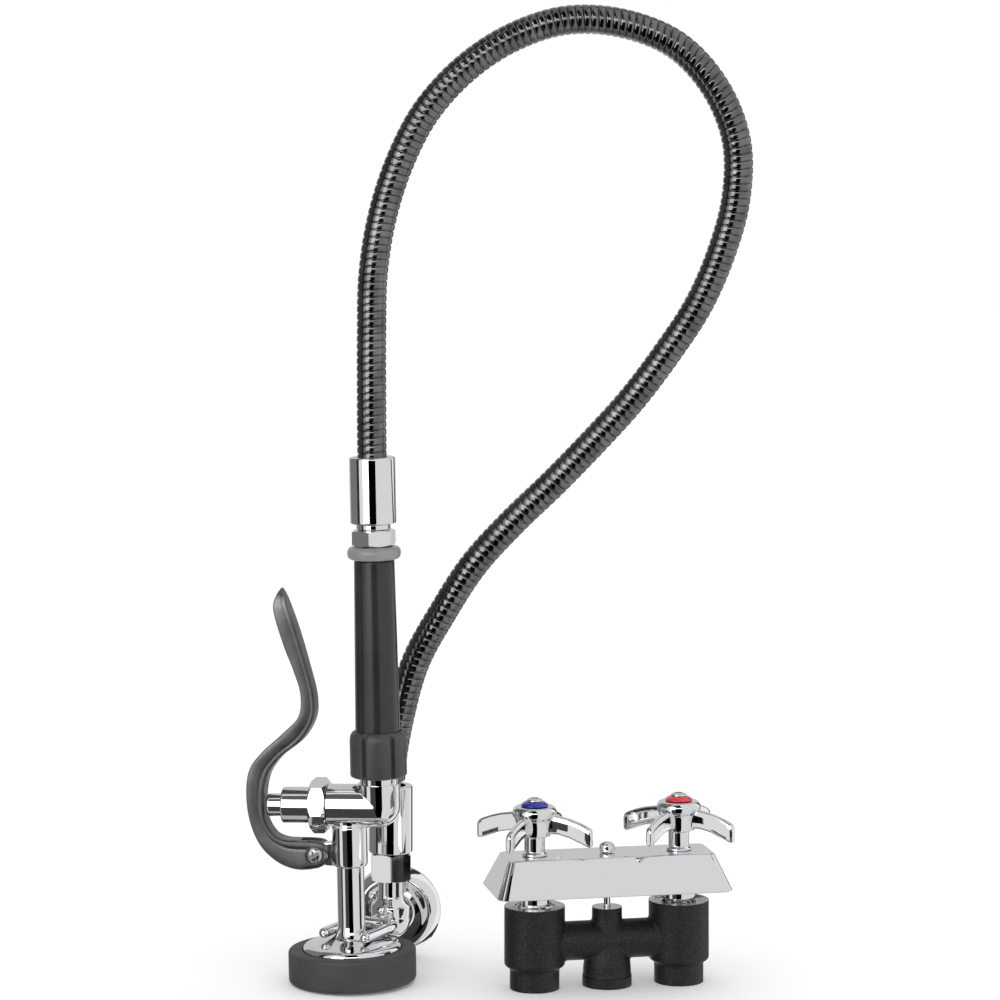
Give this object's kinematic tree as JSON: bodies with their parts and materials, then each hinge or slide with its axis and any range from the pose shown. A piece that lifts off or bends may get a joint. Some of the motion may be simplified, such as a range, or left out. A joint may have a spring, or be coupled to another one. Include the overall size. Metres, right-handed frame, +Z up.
{
  "type": "pre rinse faucet",
  "caption": "Pre-rinse faucet set: lever spray valve on a looped steel hose, wall outlet elbow with a rest fork, and a concealed mixing valve with cross handles under a chrome plate.",
  "frame": {"origin": "centre of the box round the set without its hose, at the lowest face", "axes": "+Z up, +Y towards the wall, +X from the spray valve towards the mixing valve"},
  "size_m": [0.3515, 0.1508, 0.6733],
  "materials": {
    "chrome": "mirror polished",
    "steel": "satin",
    "satin_metal": "satin cast",
    "brass": "machined",
    "casting": "rough cast, machined rims",
    "grip_rubber": "satin",
    "grey_plastic": "satin",
    "black_rubber": "matte",
    "cold_blue": "gloss",
    "hot_red": "gloss"
  },
  "bodies": {
    "wall_set": {"outlet_elbow": "chrome", "wall_nipple": "brass", "wall_flange": "chrome", "rest_fork": "chrome", "outlet_hose_nut": "chrome", "outlet_hose_washer": "black_rubber", "outlet_hose_tailpiece": "chrome", "outlet_hose_ferrule": "chrome", "hose": "steel", "mixer_body": "casting", "escutcheon": "chrome", "escutcheon_screw": "chrome", "cold_bonnet": "chrome", "cold_stem_sleeve": "chrome", "cold_bonnet_washer": "black_rubber", "cold_seat": "brass", "hot_bonnet": "chrome", "hot_stem_sleeve": "chrome", "hot_bonnet_washer": "black_rubber", "hot_seat": "brass"},
    "spray_valve": {"handle_hose_ferrule": "chrome", "handle_hose_tailpiece": "chrome", "handle_hose_washer": "black_rubber", "handle_nut": "chrome", "handle_tube": "brass", "grip": "grip_rubber", "grip_collar": "grip_rubber", "grip_ring": "grey_plastic", "valve_body": "chrome", "bonnet_nut": "chrome", "bonnet": "chrome", "stem_packing": "black_rubber", "valve_seat": "brass", "spray_bell": "chrome", "spray_face": "steel", "face_gasket": "black_rubber", "face_screw": "steel", "bumper": "black_rubber", "lever_screw": "steel", "lever_nut": "steel"},
    "lever": {"lever": "satin_metal"},
    "plunger": {"plunger": "chrome", "valve_disc": "black_rubber", "disc_nut": "brass", "return_spring": "steel"},
    "cold_handle": {"cold_handle": "chrome", "cold_index_ring": "cold_blue", "cold_handle_screw": "chrome", "cold_spindle": "brass"},
    "cold_disc": {"cold_disc_holder": "brass", "cold_seat_washer": "black_rubber"},
    "hot_handle": {"hot_handle": "chrome", "hot_index_ring": "hot_red", "hot_handle_screw": "chrome", "hot_spindle": "brass"},
    "hot_disc": {"hot_disc_holder": "brass", "hot_seat_washer": "black_rubber"}
  },
  "joints": [
    {"name": "spray_pull", "type": "slide", "parent": "wall_set", "child": "spray_valve", "axis": [-0.4618, -0.887, 0], "range_m": [0, 0.06], "deforming": ["hose"]},
    {"name": "lever_squeeze", "type": "hinge", "parent": "spray_valve", "child": "lever", "pos_m": [-0.11993, -0.01234, 0.08752], "axis": [0.1564, 0.9877, 0.0033], "range_deg": [0, 10], "stiffness_Nm_per_rad": 2},
    {"name": "plunger_push", "type": "slide", "parent": "spray_valve", "child": "plunger", "axis": [0.9875, -0.1564, 0.0207], "range_m": [0, 0.0062], "deforming": ["return_spring"]},
    {"name": "cold_turn", "type": "hinge", "parent": "wall_set", "child": "cold_handle", "pos_m": [0.03019, -0.03445, 0.11], "axis": [0, 0, 1], "range_deg": [-270, 0]},
    {"name": "hot_turn", "type": "hinge", "parent": "wall_set", "child": "hot_handle", "pos_m": [0.12982, -0.01455, 0.11], "axis": [0, 0, 1], "range_deg": [0, 270]},
    {"name": "cold_disc_lift", "type": "slide", "parent": "wall_set", "child": "cold_disc", "axis": [0, 0, 1], "range_m": [0, 0.0031]},
    {"name": "hot_disc_lift", "type": "slide", "parent": "wall_set", "child": "hot_disc", "axis": [0, 0, 1], "range_m": [0, 0.0031]}
  ],
  "couplings": [
    {"joint": "plunger_push", "follows": "lever_squeeze", "m_per_rad": 0.0335},
    {"joint": "cold_disc_lift", "follows": "cold_turn", "m_per_rad": -0.00063},
    {"joint": "hot_disc_lift", "follows": "hot_turn", "m_per_rad": 0.00063}
  ]
}
